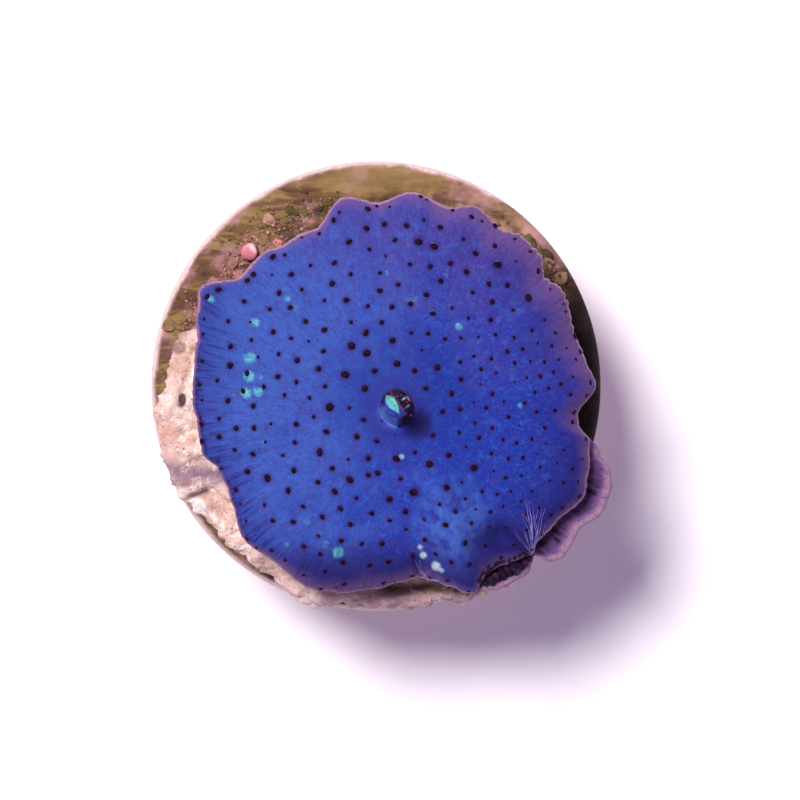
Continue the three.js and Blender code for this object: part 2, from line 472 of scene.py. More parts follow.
def disc_sections(degrees, top):
    """Radius, height and share of the reach, row by row, along the upper side at some angles.

    The rows run from the disc's middle over the dome and the rolled margin, and on the folded
    side under the margin and out again to the edge of the lower lip.
    """
    turn = np.radians(degrees)
    teeth = np.sin(139 * turn + 2.0 * np.sin(8 * turn)) * np.sin(23 * turn + 0.7)
    toothed = 0.35 + ease(np.abs(np.mod(degrees, 360) - 42), 28, 8)
    reach = ring(MARGIN_REACH, degrees) + 0.065 * teeth * toothed
    fall = ring(DISC_FALL, degrees)
    roll = np.radians(ring(ROLL, degrees))
    fold = ring(FOLD, degrees)
    depth = ring(FOLD_DEPTH, degrees)
    inner = reach - ROLL_SIZE * np.sin(roll)

    def height(radius, share):
        rise = disc_features(radius * np.cos(turn), radius * np.sin(turn), share)
        collar = 0.16 * ease(radius, 1.8, 0.9)
        return top - fall * (radius / reach) ** 2.3 + rise * ease(radius, 1.7, 3.5) + collar

    rows = []
    for row in range(DOME_ROWS):
        radius = mix(0.0, inner, row / DOME_ROWS)
        share = radius / reach
        rows.append((radius, height(radius, share), share))
    for row in range(ROLL_ROWS + 1):
        angle = roll * row / ROLL_ROWS
        radius = inner + ROLL_SIZE * np.sin(angle)
        share = radius / reach
        level = height(radius, share) - ROLL_SIZE * (1 - np.cos(angle))
        rows.append((radius, level, share))

    radius, level, share = rows[-1]
    before = rows[-2]
    heading = np.arctan2(level - before[1], radius - before[0])
    under = np.radians(-160.0)
    out = np.radians(-8.0)
    for first, last, size, count in (
            (heading, under, 0.30, FOLD_ROWS[0]), (under, out, 0.40, FOLD_ROWS[1])):
        step = (0.01 + fold * depth * size * np.abs(last - first)) / count
        for row in range(count):
            angle = mix(first, last, (row + 0.5) / count) * fold + heading * (1 - fold)
            radius = radius + step * np.cos(angle)
            level = level + step * np.sin(angle)
            rows.append((radius, level, share))
    gap = np.maximum(ring(LIP_REACH, degrees) - radius, 0.0) * ease(fold, 0.0, 0.4) + 0.02
    for row in range(FOLD_ROWS[2]):
        lift = np.radians(mix(-8.0, 26.0, (row / FOLD_ROWS[2]) ** 2))
        angle = lift * fold + heading * (1 - fold)
        radius = radius + gap / FOLD_ROWS[2] * np.cos(angle)
        level = level + gap / FOLD_ROWS[2] * np.sin(angle)
        rows.append((radius, level, share))
    return np.array(rows)


def section_normals(radius, level):
    """Unit normals, up and out, of section rows."""
    along_r = np.gradient(radius, axis=0)
    along_z = np.gradient(level, axis=0)
    length = np.maximum(np.hypot(along_r, along_z), 1e-9)
    return -along_z / length, along_r / length


def margin_values(degrees, upper):
    """How mauve and pale each upper row is, and how much painted shade fills the fold's hollow, by its
    distance from the margin's edge.
    """
    inward = upper[EDGE_ROW, 0] - upper[:, 0]
    outward = upper[-1, 0] - upper[:, 0]
    fold = ring(FOLD, degrees)
    width = ring(BAND_WIDTH, degrees)
    paleness = ring(EDGE_PALENESS, degrees)
    ragged = 0.9 + 0.16 * np.sin(np.radians(degrees * 31)) * np.sin(np.radians(degrees * 13))
    past = np.arange(len(upper))[:, None] > EDGE_ROW
    inner = np.clip(1 - inward / (1.4 * width * ragged), 0, 1) ** 1.5
    band = np.maximum(inner, past * ease(fold, 0.0, 0.4))
    thin = (0.075 + 0.09 * fold) * ragged
    edge = ease(np.abs(inward) / thin, 1.0, 0.3) * paleness * (1 - past * fold)
    lip_width = np.where(np.mod(degrees, 360) < 313.7, 0.14, 0.38)
    lip = ease(outward / lip_width, 1.0, 0.3) * past * ease(fold, 0.2, 0.6)
    hollow = past * fold * ring(HOLLOW, degrees) * ease(outward / lip_width, 0.9, 1.7)
    return band, np.maximum(edge, 0.6 * lip), hollow


def coral_form(steps, seat, top):
    """Points and stored values of the coral's skin, as rows from the middle to the foot."""
    degrees = np.arange(steps) * 360.0 / steps
    turn = np.radians(degrees)
    upper = disc_sections(degrees, top)
    fold = ring(FOLD, degrees)
    band, pale, hollow = margin_values(degrees, upper)
    names = ("radius", "level", "reach", "band", "pale", "hollow", "under")
    rows = []

    def add(*values):
        rows.append(np.stack([np.broadcast_to(value, turn.shape) for value in values]))

    last = len(upper) - 1
    for index, (radius, level, share) in enumerate(upper):
        add(radius, level, share, band[index], pale[index], hollow[index], 0.0)

    normal_r, normal_z = section_normals(upper[:, 0], upper[:, 1])
    lip_start = last - FOLD_ROWS[2]
    thickness = mix(1.3, 0.46, np.clip((upper[:, 0] - 5.0) / 6.0, 0.0, 1.0))
    thin = mix(0.26, 0.2, fold)
    for index in range(DOME_ROWS, last + 1):
        share = min((index - DOME_ROWS) / ROLL_ROWS, 1.0)
        thickness[index] = mix(thickness[DOME_ROWS - 1], thin, ease(share, 0.0, 1.0))
    for index in range(lip_start, last + 1):
        thickness[index] = mix(thickness[index], 0.4, fold * (index - lip_start) / FOLD_ROWS[2])
    half = thickness[last] / 2
    centre_r = upper[last, 0] - normal_r[last] * half
    centre_z = upper[last, 1] - normal_z[last] * half
    edge_pale = pale[last]
    for angle in (36, 72, 108, 144):
        across = math.cos(math.radians(angle)) * half
        beyond = math.sin(math.radians(angle)) * half
        add(centre_r + normal_r[last] * across + normal_z[last] * beyond,
            centre_z + normal_z[last] * across - normal_r[last] * beyond,
            1.0, 1.0, edge_pale, 0.0, 0.3)
    kept = list(range(last, EDGE_ROW, -3)) + list(range(EDGE_ROW, DOME_ROWS, -3))
    kept += [row for row in range(DOME_ROWS, 0, -6) if upper[row, 0].min() > 6.2]
    for index in kept:
        add(upper[index, 0] - normal_r[index] * thickness[index],
            upper[index, 1] - normal_z[index] * thickness[index],
            upper[index, 2], 0.0, ease(index, lip_start, last) * 0.6, 0.0, 1.0)
    column = [
        (5.75, 2.95), (5.4, 2.5), (5.3, 1.9), (5.35, 1.3), (5.7, 0.75), (6.2, 0.35), (6.5, 0.05)]
    pleats = 0.10 * np.sin(17 * turn + 0.5) + 0.06 * np.sin(29 * turn)
    for share, (radius, level) in enumerate(column):
        splay = pleats * (1 + 0.5 * share / len(column))
        add(radius + splay, seat + level, 0.3, 0.0, 0.0, 0.0, 1.0)
    for radius in (6.3, 3.0, 0.0):
        add(radius, seat - 0.05, 0.3, 0.0, 0.0, 0.0, 1.0)
    values = np.array(rows)
    return degrees, {name: values[:, index] for index, name in enumerate(names)}


def coral_levels():
    """The seat and the top of the disc beside the mouth, in millimetres."""
    low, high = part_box("mushroom_polyp")
    return low.z / MM, high.z / MM - MOUTH_HEIGHT - 0.05


def disc_points(degrees, shares):
    """Points on the disc's upper side at angles and shares of the reach."""
    sections = disc_sections(degrees, coral_levels()[1])[:EDGE_ROW + 1]
    radius = np.zeros(len(degrees))
    level = np.zeros(len(degrees))
    for index, share in enumerate(shares):
        rows = sections[:, :, index]
        radius[index] = np.interp(share, rows[:, 2], rows[:, 0])
        level[index] = np.interp(share, rows[:, 2], rows[:, 1])
    return around(AXIS, radius, level, degrees)


def disc_frames(degrees, shares):
    """Points on the disc with matrices whose columns run round it, inwards and out of it."""
    here = disc_points(degrees, shares)
    tangents = disc_points(degrees + 0.4, shares) - here
    outward = disc_points(degrees, np.minimum(shares + 0.01, 1.0))
    outward = outward - disc_points(degrees, np.minimum(shares, 0.99))
    turns = []
    for tangent, away in zip(tangents, outward):
        tangent = Vector(tangent).normalized()
        normal = Vector(away).cross(tangent).normalized()
        turns.append(Matrix((tangent, normal.cross(tangent), normal)).transposed())
    return here, turns


def polar(x, y):
    """Angles in degrees and shares of the reach of places measured from the mouth."""
    degrees = np.degrees(np.arctan2(y, x))
    return degrees, np.hypot(x, y) / ring(MARGIN_REACH, degrees)


def tubercle_places(count, chance):
    """Places from the mouth and sizes: the large ones, then others by chance, kept apart."""
    placed = list(LARGE_TUBERCLES)
    for degrees in range(0, 360, 5):
        angle = math.radians(degrees + chance.uniform(-2.2, 2.2))
        reach = float(ring(MARGIN_REACH, math.degrees(angle))) * chance.uniform(0.95, 0.998)
        placed.append((reach * math.cos(angle), reach * math.sin(angle),
                       chance.uniform(0.08, 0.2)))
    for _ in range(40000):
        if len(placed) >= count + len(LARGE_TUBERCLES):
            break
        degrees = chance.uniform(0, 360)
        share = math.sqrt(chance.uniform(0.03, 0.9))
        reach = share * float(ring(MARGIN_REACH, degrees))
        x, y = reach * math.cos(math.radians(degrees)), reach * math.sin(math.radians(degrees))
        right = float(ease(x, 1.0, 7.0)) * float(ease(abs(y + 1), 9.0, 5.0))
        apart = mix(1.05, 0.8, right)
        if all(math.hypot(x - a, y - b) > apart + 0.6 * c for a, b, c in placed):
            size = chance.uniform(0.13, 0.21) * mix(1.0, 0.72, right) * mix(1.12, 0.9, share)
            placed.append((x, y, size * (0.6 if chance.random() < 0.12 else 1.0)))
    return placed


def mouth_points(steps, top):
    """Rows of points over the mouth's bulb, from its middle out and back under the disc."""
    degrees = np.arange(steps) * 360.0 / steps
    turn = np.radians(degrees)
    count = 40
    rows = []
    for row in range(count + 1):
        angle = (1 - row / count) * math.pi / 2
        flare = 0.18 * ease(row / count, 0.75, 1.0)
        radius = (0.97 * math.cos(angle) ** 0.62 + flare) * (1 + 0.07 * np.cos(2 * turn + 1.88))
        level = MOUTH_HEIGHT * math.sin(angle) ** 0.8 - 0.2 * flare + 0.0 * turn
        x, y = radius * np.cos(turn), radius * np.sin(turn)
        along, across = x * 0.59 - y * 0.81, x * 0.81 + y * 0.59
        ends = ease(np.abs(along + 0.1), 1.15, 0.55)
        lips = 0.12 * np.exp(-(((across - 0.06) / 0.22) ** 2))
        lips += 0.10 * np.exp(-(((across - 0.42) / 0.08) ** 2))
        slit = 0.5 * np.exp(-(((across - 0.66) / 0.2) ** 2)) * ease(along, 0.9, 0.3)
        lumps = 0.04 * np.sin(9 * along + 2 * across) * np.sin(7 * across) * ease(across, 0.0, 0.4)
        high = ease(level, 0.25 * MOUTH_HEIGHT, 0.75 * MOUTH_HEIGHT)
        rows.append(around((AXIS[0], AXIS[1] + 0.24), radius,
                           top + level + high * (ends * (lips - slit) + lumps), degrees))
    under = top - 0.4
    rows.append(around((AXIS[0], AXIS[1] + 0.24), 1.1, under, degrees))
    rows.append(around((AXIS[0], AXIS[1] + 0.24), 0.0, under, degrees))
    return np.array(rows)


# ---------------------------------------------------------------- materials


def flesh_material(settings):
    """Velvety blue flesh: radial streaks, mauve band, pale edge, folded lip and blotches, with painted
    light and shade.
    """
    material, place, principled = start_material("polyp_flesh", {
        "Roughness": 0.65, "Specular IOR Level": 0.08, "Subsurface Weight": 0.04,
        "Subsurface Radius": (0.25, 0.25, 0.6), "Subsurface Scale": 0.001})
    centred = place.node(
        "ShaderNodeVectorMath", {"operation": "SUBTRACT"}, {0: place, 1: (*AXIS, 0.0)})
    x, y = axes_of(centred)
    flat = vector_of(X=x, Y=y)
    radius = flat.node("ShaderNodeVectorMath", {"operation": "LENGTH"}, {0: flat}, output="Value")
    heading = flat.node("ShaderNodeVectorMath", {"operation": "NORMALIZE"}, {0: flat})
    wide = flat.node("ShaderNodeVectorMath", {"operation": "SCALE"}, {0: heading, "Scale": 12.0})
    rays = flat.node(
        "ShaderNodeVectorMath", {"operation": "ADD"}, {0: wide, 1: vector_of(Z=radius * 0.25)})

    reach, band, pale, hollow, under, cyan, cream, halo = [
        attribute(place, name)
        for name in ("reach", "band", "pale", "hollow", "under", "cyan", "cream", "halo")]

    fine_rays = grain(rays, 6.0, 2.0, 0.5)
    broad_rays = grain(rays, 1.3, 3.0, 0.55)
    cloud = grain(place, 0.4, 3.0, 0.6, 0.4)
    patches = grain(place, 0.95, 4.0, 0.62, 0.5)
    speckle = grain(place, 6.5, 3.0, 0.7)
    away = reach.between(0.12, 0.5)

    west = (x * -0.05 + y * 0.014 + cloud * 0.9).between(0.2, 0.9)
    base = colour_mix(west, settings.cobalt, settings.azure)
    east = (x * 0.03 + y * 0.06 + cloud * 0.8).between(0.6, 1.25)
    base = colour_mix(east * 0.85, base, settings.violet)
    base = colour_mix(patches.between(0.52, 0.7) * 0.35, base, settings.azure)
    base = colour_mix(patches.between(0.48, 0.3) * 0.5, base, settings.violet)
    base = colour_mix(broad_rays.between(0.5, 0.7) * away * 0.2, base, settings.indigo)
    base = colour_mix(broad_rays.between(0.46, 0.3) * away * 0.25, base, settings.violet)
    base = colour_mix(fine_rays.between(0.5, 0.66) * away * 0.25, base, settings.indigo)
    base = colour_mix(fine_rays.between(0.44, 0.3) * away * 0.16, base, tint(84, 92, 176))
    mottle = grain(place, 2.3, 2.0, 0.6, 0.4)
    base = colour_mix(mottle.between(0.52, 0.68) * 0.3, base, tint(60, 104, 186))
    base = colour_mix(mottle.between(0.46, 0.3) * 0.35, base, tint(66, 50, 124))
    base = colour_mix(speckle.between(0.54, 0.7) * 0.35, base, tint(66, 112, 190))
    base = colour_mix(speckle.between(0.45, 0.3) * 0.45, base, settings.indigo)
    deep = tint(22, 38, 122)
    base = colour_mix(spot(x, y, (0.4, 1.0), (6.0, 5.0), -0.4) * 0.55, base, deep)
    # Painted light and shade of the relief: the hump's top lighter, the valley by the pinch darker.
    hump = spot(x, y, (3.6, -7.4), (3.0, 3.6), -0.3)
    base = colour_mix(hump * patches.between(0.3, 0.6) * 0.7, base, tint(82, 118, 198))
    base = colour_mix(spot(x, y, (7.1, -8.7), (3.0, 2.0), 0.0) * 0.5, base, tint(38, 30, 98))
    # Painted shade: the margin darker on the left, along the bottom and on the right, where it slopes
    # away and rolls down.
    left = (x * -0.1 + y * -0.03).between(0.55, 1.1)
    base = colour_mix(reach.between(0.78, 1.0) * left * 0.55, base, tint(44, 46, 132))
    low = (x * 0.03 - y * 0.085).between(0.3, 0.9)
    base = colour_mix(reach.between(0.6, 1.0) * low * 0.75, base, tint(40, 30, 96))
    base = colour_mix(spot(x, y, (-3.5, -11.2), (8.0, 2.6), 0.0) * 0.6, base, tint(34, 26, 84))
    right = (x * 0.1 + y * 0.02).between(0.6, 1.2)
    base = colour_mix(reach.between(0.5, 1.0) * right * 0.65, base, tint(34, 30, 104))

    long_rays = flat.node(
        "ShaderNodeVectorMath", {"operation": "ADD"}, {0: wide, 1: vector_of(Z=radius * 0.1)})
    wrinkles = grain(long_rays, 6.0, 1.0, 0.4).between(0.55, 0.66)
    crease_mask = wrinkles * reach.between(0.76, 0.95) * left * 0.45
    dark_edge = reach.between(0.965, 0.995) * left * (x * -0.1 - y * 0.06).between(0.8, 1.15)
    base = colour_mix(dark_edge * (speckle + fine_rays).between(0.85, 1.1), base, tint(34, 14, 34))
    # Painted shade in the fine creases of the left margin.
    base = colour_mix(crease_mask, base, tint(22, 20, 70))
    ring_round_mouth = radius.between(1.2, 1.5) * radius.between(3.0, 1.5)
    base = colour_mix(ring_round_mouth * 0.35, base, tint(48, 36, 118))
    # Painted shadow of the mouth's bulb, falling to its lower right.
    base = colour_mix(spot(x, y, (1.3, -0.8), (1.15, 1.2), -0.1) * 0.95, base, tint(20, 8, 60))

    base = colour_mix(halo * (speckle + 0.15).between(0.3, 0.6) * 0.7, base, tint(52, 26, 88))
    ragged = (speckle - 0.5) * 0.5 + (patches - 0.5) * 1.5
    blotted = (cyan + ragged * cyan.between(0.0, 0.4)).between(0.1, 1.25)
    shine = colour_mix(mottle.between(0.45, 0.65), settings.cyan, tint(124, 196, 204))
    base = colour_mix(blotted * (mottle.between(0.35, 0.55) * 0.4 + 0.5), base, shine)
    creamy = (cream + ragged * cream.between(0.0, 0.4)).between(0.1, 1.1)
    base = colour_mix(creamy, base, tint(170, 190, 200))
    base = colour_mix(band * (fine_rays + speckle).between(0.4, 1.1), base, settings.mauve)

    ribs = grain(rays, 3.0, 1.0, 0.4).between(0.36, 0.64)
    # Painted shade: the hollow of the fold under the overhanging margin is dark ribbed flesh.
    inside = colour_mix(ribs, tint(32, 16, 40), tint(84, 58, 100))
    base = colour_mix(hollow, base, inside)
    below = colour_mix(ribs * 0.5, tint(120, 88, 124), tint(160, 124, 140))
    base = colour_mix(under, base, below)
    base = colour_mix(pale * (speckle * 0.9 + fine_rays * 0.5).between(0.35, 0.85), base, settings.edge)
    base = mouth_colours(base, x, y, radius, patches, speckle)
    link(base, principled, "Base Color")

    link(0.65 - 0.15 * hollow - 0.25 * radius.between(1.4, 1.0), principled, "Roughness")
    relief = fine_rays * away * 0.5 + ribs * hollow * 0.9 + patches * 0.3 - crease_mask
    link(bump(relief, 0.05, 0.7, bump(speckle, 0.02, 0.6)), principled, "Normal")
    return material


def mouth_colours(base, x, y, radius, patches, speckle):
    """Lavender flank lightened partly with painted light, teal leaf-shaped lip, maroon slit, teal
    flecks and a painted pink highlight on the bulb's rim.
    """
    outline = radius.between(1.12, 1.24) * radius.between(1.42, 1.28) * (x * -1.0).between(0.0, 0.8)
    base = colour_mix(outline * 0.35, base, tint(86, 62, 136))
    on_bulb = spot(x, y, (-0.02, 0.24), (1.18, 1.3))
    along = x * 0.59 - y * 0.81
    across = x * 0.81 + y * 0.59
    # The lighter lavender of the left flank is partly the flesh's own colour and partly painted light.
    flank = colour_mix(spot(across, along, (-0.72, 0.15), (0.5, 1.1), 0.2) * patches.between(0.3, 0.55),
                       tint(48, 56, 140), tint(90, 122, 196))
    colour = colour_mix(on_bulb, base, flank)
    mottled = colour_mix(speckle.between(0.44, 0.64), tint(26, 6, 24), tint(84, 50, 74))
    right = across.between(0.34, 0.46)
    lower_end = along.between(0.36, 0.6) * across.between(-0.3, 0.0)
    top_side = along.between(-0.95, -1.15) * across.between(-0.5, -0.2)
    dark = (right + lower_end + top_side + (speckle - 0.5) * 0.5).between(0.1, 0.9)
    colour = colour_mix(dark * on_bulb, colour, mottled)
    lip = across.between(0.3, 0.38) * across.between(0.54, 0.44) * along.between(0.85, 0.4)
    colour = colour_mix(lip * on_bulb * (patches + speckle).between(0.8, 1.15) * 0.8, colour,
                        tint(112, 70, 96))
    bow = (along + 0.54) / 0.76
    leaf_width = 0.33 * (1 - bow * bow) * (1 - bow * 0.45)
    leaf = (leaf_width - abs(across - 0.06) + (speckle - 0.5) * 0.2).between(-0.02, 0.06)
    shine = colour_mix(across.between(0.1, 0.32), tint(98, 190, 182), tint(118, 202, 130))
    shine = colour_mix(speckle.between(0.46, 0.6) * 0.75, shine, tint(62, 132, 158))
    colour = colour_mix(leaf * on_bulb, colour, shine)
    for centre, size, shade in (
            ((0.84, -0.42), (0.2, 0.08), tint(98, 186, 178)),
            ((0.74, 0.12), (0.2, 0.07), tint(88, 172, 166)),
            ((0.62, -0.8), (0.1, 0.07), tint(60, 130, 130)),
            # The pink oval next is a painted highlight on the bulb's rim.
            ((1.1, -0.25), (0.07, 0.25), tint(200, 138, 156)),
            ((0.6, 0.72), (0.13, 0.08), tint(128, 122, 140))):
        colour = colour_mix(spot(across, along, centre, size, 0.2), colour, shade)
    for centre, size in (((0.16, -0.95), (0.17, 0.15)), ((-0.92, 0.62), (0.12, 0.11)),
                         ((-0.98, -0.6), (0.12, 0.1)), ((-0.12, -1.5), (0.1, 0.08))):
        colour = colour_mix(spot(x, y, centre, size, 0.1), colour, tint(44, 10, 44))
    return colour


def tubercle_material(settings):
    """Dark maroon flesh of the raised dots, browner round their foot."""
    material, place, principled = start_material("tubercle_flesh", {
        "Roughness": 0.6, "Specular IOR Level": 0.08})
    lift = attribute(place, "lift")
    shade = grain(place, 5.0, 2.0)
    base = colour_mix(lift.between(0.2, 0.62), settings.dot_edge, settings.dot)
    link(colour_mix(shade.between(0.45, 0.75) * 0.3, base, settings.dot_edge), principled,
         "Base Color")
    link(0.55 + 0.2 * shade, principled, "Roughness")
    return material


def bead_material(settings):
    """Dark maroon beads of the folded lip."""
    material, place, principled = start_material("bead_flesh", {
        "Roughness": 0.6, "Specular IOR Level": 0.15})
    shade = grain(place, 2.4, 2.0)
    link(colour_mix(shade.between(0.4, 0.65), tint(22, 6, 30), tint(52, 18, 50)), principled,
         "Base Color")
    link(0.5 + 0.2 * shade, principled, "Roughness")
    return material


def stretch_material(settings):
    """Pale lavender skin of the stretched folds."""
    material, place, principled = start_material("stretched_skin", {
        "Roughness": 0.5, "Specular IOR Level": 0.2})
    shade = grain(place, 1.6, 2.0)
    link(colour_mix(shade.between(0.35, 0.65), tint(104, 98, 180), tint(170, 152, 206)), principled,
         "Base Color")
    link(bump(shade, 0.03, 0.5), principled, "Normal")
    return material


def rock_material(settings):
    """Cream to pink aragonite: grey bands, olive algal growth and pink-orange specks, with painted
    shade in pits and under the coral, a painted shadow along the bottom and a painted highlight on one
    facet.
    """
    material, place, principled = start_material("reef_rock", {
        "Roughness": 0.88, "Specular IOR Level": 0.2, "Subsurface Weight": 0.05,
        "Subsurface Radius": (0.6, 0.4, 0.3), "Subsurface Scale": 0.001})
    pit, band, algae = [attribute(place, name) for name in ("pit", "band", "algae")]
    x, y = axes_of(place)
    cloud = grain(place, 0.38, 4.0, 0.6, 0.5)
    lumps = grain(place, 1.1, 4.0, 0.6, 0.3)
    specks = grain(place, 3.6, 3.0, 0.65)
    pores = cells(place, 2.2)
    base = colour_mix(cloud.between(0.36, 0.6), settings.rock, settings.rock_blush)
    base = colour_mix(lumps.between(0.5, 0.7) * 0.6, base, tint(206, 162, 142))
    base = colour_mix(lumps.between(0.48, 0.34) * 0.85, base, tint(252, 238, 228))
    base = colour_mix(specks.between(0.56, 0.7) * 0.5, base, tint(186, 124, 100))
    base = colour_mix(specks.between(0.4, 0.26) * 0.35, base, tint(255, 240, 230))
    base = colour_mix(band * lumps.between(0.25, 0.5), base, tint(150, 122, 138))
    # Painted highlight on a flat facet at the lower left.
    base = colour_mix(spot(x, y, (-11.9, -8.2), (0.8, 0.9)) * 0.95, base, tint(255, 246, 236))
    base = colour_mix(spot(x, y, (-7.0, -14.0), (4.5, 1.6), 0.0) * 0.5, base, tint(238, 206, 200))
    # Painted shadow of the coral's disc along the rock's bottom edge.
    base = colour_mix(spot(x, y, (2.0, -14.6), (7.0, 1.6), 0.0) * 0.6, base, tint(164, 130, 150))
    base = colour_mix(pores.between(0.16, 0.06) * 0.3, base, tint(126, 84, 78))
    # Olive algal growth mixed with painted shade in the groove under the coral and low on the
    # lower-left side.
    base = colour_mix(algae * (lumps + 0.2).between(0.4, 0.75), base, settings.rock_algae_and_shade)
    # Painted shade in the pits, darkest in the deep pit on the left.
    base = colour_mix(pit, base, tint(78, 48, 56))
    base = colour_mix(spot(x, y, (-12.72, -0.92), (0.26, 0.42), 0.7) * 0.95, base, tint(92, 60, 70))
    rim = spot(x, y, (-13.0, 2.5), (0.5, 0.42), 0.7) - spot(x, y, (-13.0, 2.5), (0.28, 0.22), 0.5)
    base = colour_mix(rim * 0.6, base, tint(146, 96, 84))
    link(base, principled, "Base Color")
    relief = lumps * 1.2 + specks * 0.8 - pores.between(0.22, 0.05) * 0.4
    link(bump(relief, 0.22, 0.9), principled, "Normal")
    return material


def plug_material(settings):
    """Unglazed ceramic under an olive film in streaks, with mauve crust, a bare rim, and painted shade
    and shadow round the coral.
    """
    material, place, principled = start_material("plug_ceramic", {
        "Roughness": 0.85, "Specular IOR Level": 0.25})
    film = attribute(place, "film")
    x, y = axes_of(place)
    warp = grain(place, 0.35, 2.0) * 1.1
    streaked = vector_of(X=x * 0.16, Y=y + warp)
    bands = grain(streaked, 0.8, 3.0, 0.55)
    fine_bands = grain(streaked, 2.3, 2.0, 0.6)
    cloud = grain(place, 0.42, 4.0, 0.6)
    patches = grain(place, 0.9, 3.0, 0.6, 0.6)
    grit = grain(place, 3.0, 4.0, 0.7)
    bare = colour_mix(grit.between(0.35, 0.65), settings.bare_ceramic, tint(222, 188, 180))
    olive = colour_mix(bands.between(0.42, 0.56), settings.film_brown, settings.film_olive)
    olive = colour_mix(fine_bands.between(0.52, 0.7) * 0.5, olive, tint(164, 132, 92))
    olive = colour_mix(fine_bands.between(0.47, 0.34) * 0.75, olive, tint(84, 52, 38))
    olive = colour_mix(cloud.between(0.5, 0.64) * 0.85, olive, settings.crust)
    olive = colour_mix(patches.between(0.55, 0.7) * 0.7, olive, tint(66, 46, 36))
    olive = colour_mix(patches.between(0.38, 0.28) * 0.4, olive, tint(150, 138, 62))
    olive = colour_mix(grit.between(0.55, 0.75) * 0.35, olive, tint(84, 58, 44))
    olive = colour_mix(spot(x, y, (-14.0, 4.0), (4.0, 8.0), -0.2) * bands.between(0.56, 0.44) * 0.7,
                       olive, tint(82, 52, 40))
    olive = colour_mix(spot(x, y, (9.5, 11.0), (6.0, 4.0), -0.2) * cloud.between(0.3, 0.6) * 0.9,
                       olive, tint(204, 152, 142))
    olive = colour_mix(spot(x, y, (0.5, 13.6), (5.2, 1.2), 0.3) * 0.55, olive, tint(158, 128, 80))
    # Painted shade on the plug's top close under the coral's margin, broken up by patches.
    near = vector_of(X=x - AXIS[0], Y=y - AXIS[1]).node(
        "ShaderNodeVectorMath", {"operation": "LENGTH"},
        {0: vector_of(X=x - AXIS[0], Y=y - AXIS[1])}, output="Value")
    olive = colour_mix(near.between(15.6, 14.0) * patches.between(0.35, 0.6) * 0.7, olive,
                       tint(62, 40, 34))
    # Partly a dark algal film, partly the painted shadow of the coral on the plug's right side.
    olive = colour_mix(spot(x, y, (15.0, 0.5), (4.2, 8.8), 0.4) * 0.95, olive, tint(24, 10, 14))
    cover = film * (grit * 0.4 + patches * 0.6 + film * 0.4).between(0.42, 0.62)
    link(colour_mix(cover, bare, olive), principled, "Base Color")
    relief = bands * 0.5 * film + grit * 0.6 + patches * film * 0.8
    link(bump(relief, 0.12, 0.8), principled, "Normal")
    return material


def turf_material(settings):
    """Short algal turf and small coralline knobs, coloured by each tuft's own shade, with a painted
    highlight on the knob.
    """
    material, place, principled = start_material("algal_turf", {
        "Roughness": 0.8, "Specular IOR Level": 0.2})
    shade = attribute(place, "shade")
    ramp = shade.node("ShaderNodeValToRGB", {"stops": [
        (0.0, tint(66, 58, 38)), (0.3, tint(110, 96, 54)), (0.5, tint(146, 112, 84)),
        (0.65, tint(160, 114, 116)), (0.8, tint(188, 146, 126)), (0.94, tint(222, 132, 146))]},
        {0: shade})
    grit = grain(place, 3.0, 3.0)
    base = colour_mix(grit.between(0.4, 0.7) * 0.3, ramp, tint(84, 62, 48))
    # Painted highlight on the knob's upper right.
    knob_highlight = shade.between(0.955, 1.0)
    link(colour_mix(knob_highlight * 0.8, base, tint(246, 222, 226)), principled, "Base Color")
    link(bump(grit, 0.05, 0.8), principled, "Normal")
    return material


def glue_material(settings):
    """Set gel glue: milky, dull, slightly yellowed."""
    material, place, principled = start_material("set_glue", {
        "Roughness": 0.45, "Specular IOR Level": 0.5, "Subsurface Weight": 0.2,
        "Subsurface Radius": (0.8, 0.7, 0.5), "Subsurface Scale": 0.001})
    cloud = grain(place, 1.2, 3.0)
    link(colour_mix(cloud.between(0.4, 0.65), settings.glue, tint(200, 182, 160)), principled,
         "Base Color")
    link(bump(cloud, 0.1, 0.5), principled, "Normal")
    return material


def floor_material(settings):
    """A plain pale floor."""
    material = bpy.data.materials.new("pale_floor")
    material.use_nodes = True
    principled = material.node_tree.nodes["Principled BSDF"]
    principled.inputs["Base Color"].default_value = settings.floor
    principled.inputs["Roughness"].default_value = 0.9
    return material


# ---------------------------------------------------------------- settings


def length(name, description, millimetres):
    """A length property given in millimetres and kept in metres."""
    return bpy.props.FloatProperty(
        name=name, description=description, default=millimetres * MM, unit="LENGTH",
        subtype="DISTANCE", precision=5)


def colour(name, description, red, green, blue):
    """A colour property given in display values."""
    return bpy.props.FloatVectorProperty(
        name=name, description=description, default=tint(red, green, blue), size=4,
        subtype="COLOR", min=0.0, max=1.0)


class CoralPlugSettings(bpy.types.PropertyGroup):
    """The frag plug, its algal film and the glue."""

    head_rounding: length("Edge rounding", "Rounding of the head's edge", 1.2)
    head_thickness: length("Head thickness", "Thickness of the plug's head", 4.0)
    stem_foot_radius: length("Stem foot", "Radius of the stem at its foot", 5.25)
    stem_top_radius: length("Stem top", "Radius of the stem under the head", 5.75)
    tufts: bpy.props.IntProperty(
        name="Tufts", description="How many algal tufts and knobs grow on the plug",
        default=620, min=0)
    film_olive: colour("Olive film", "Colour of the film's light bands", 138, 112, 66)
    film_brown: colour("Brown film", "Colour of the film's dark bands", 108, 76, 52)
    crust: colour("Crust", "Colour of the coralline crust", 168, 122, 122)
    bare_ceramic: colour("Bare ceramic", "Colour of the bare ceramic", 236, 208, 202)
    glue: colour("Glue", "Colour of the set glue", 226, 214, 202)


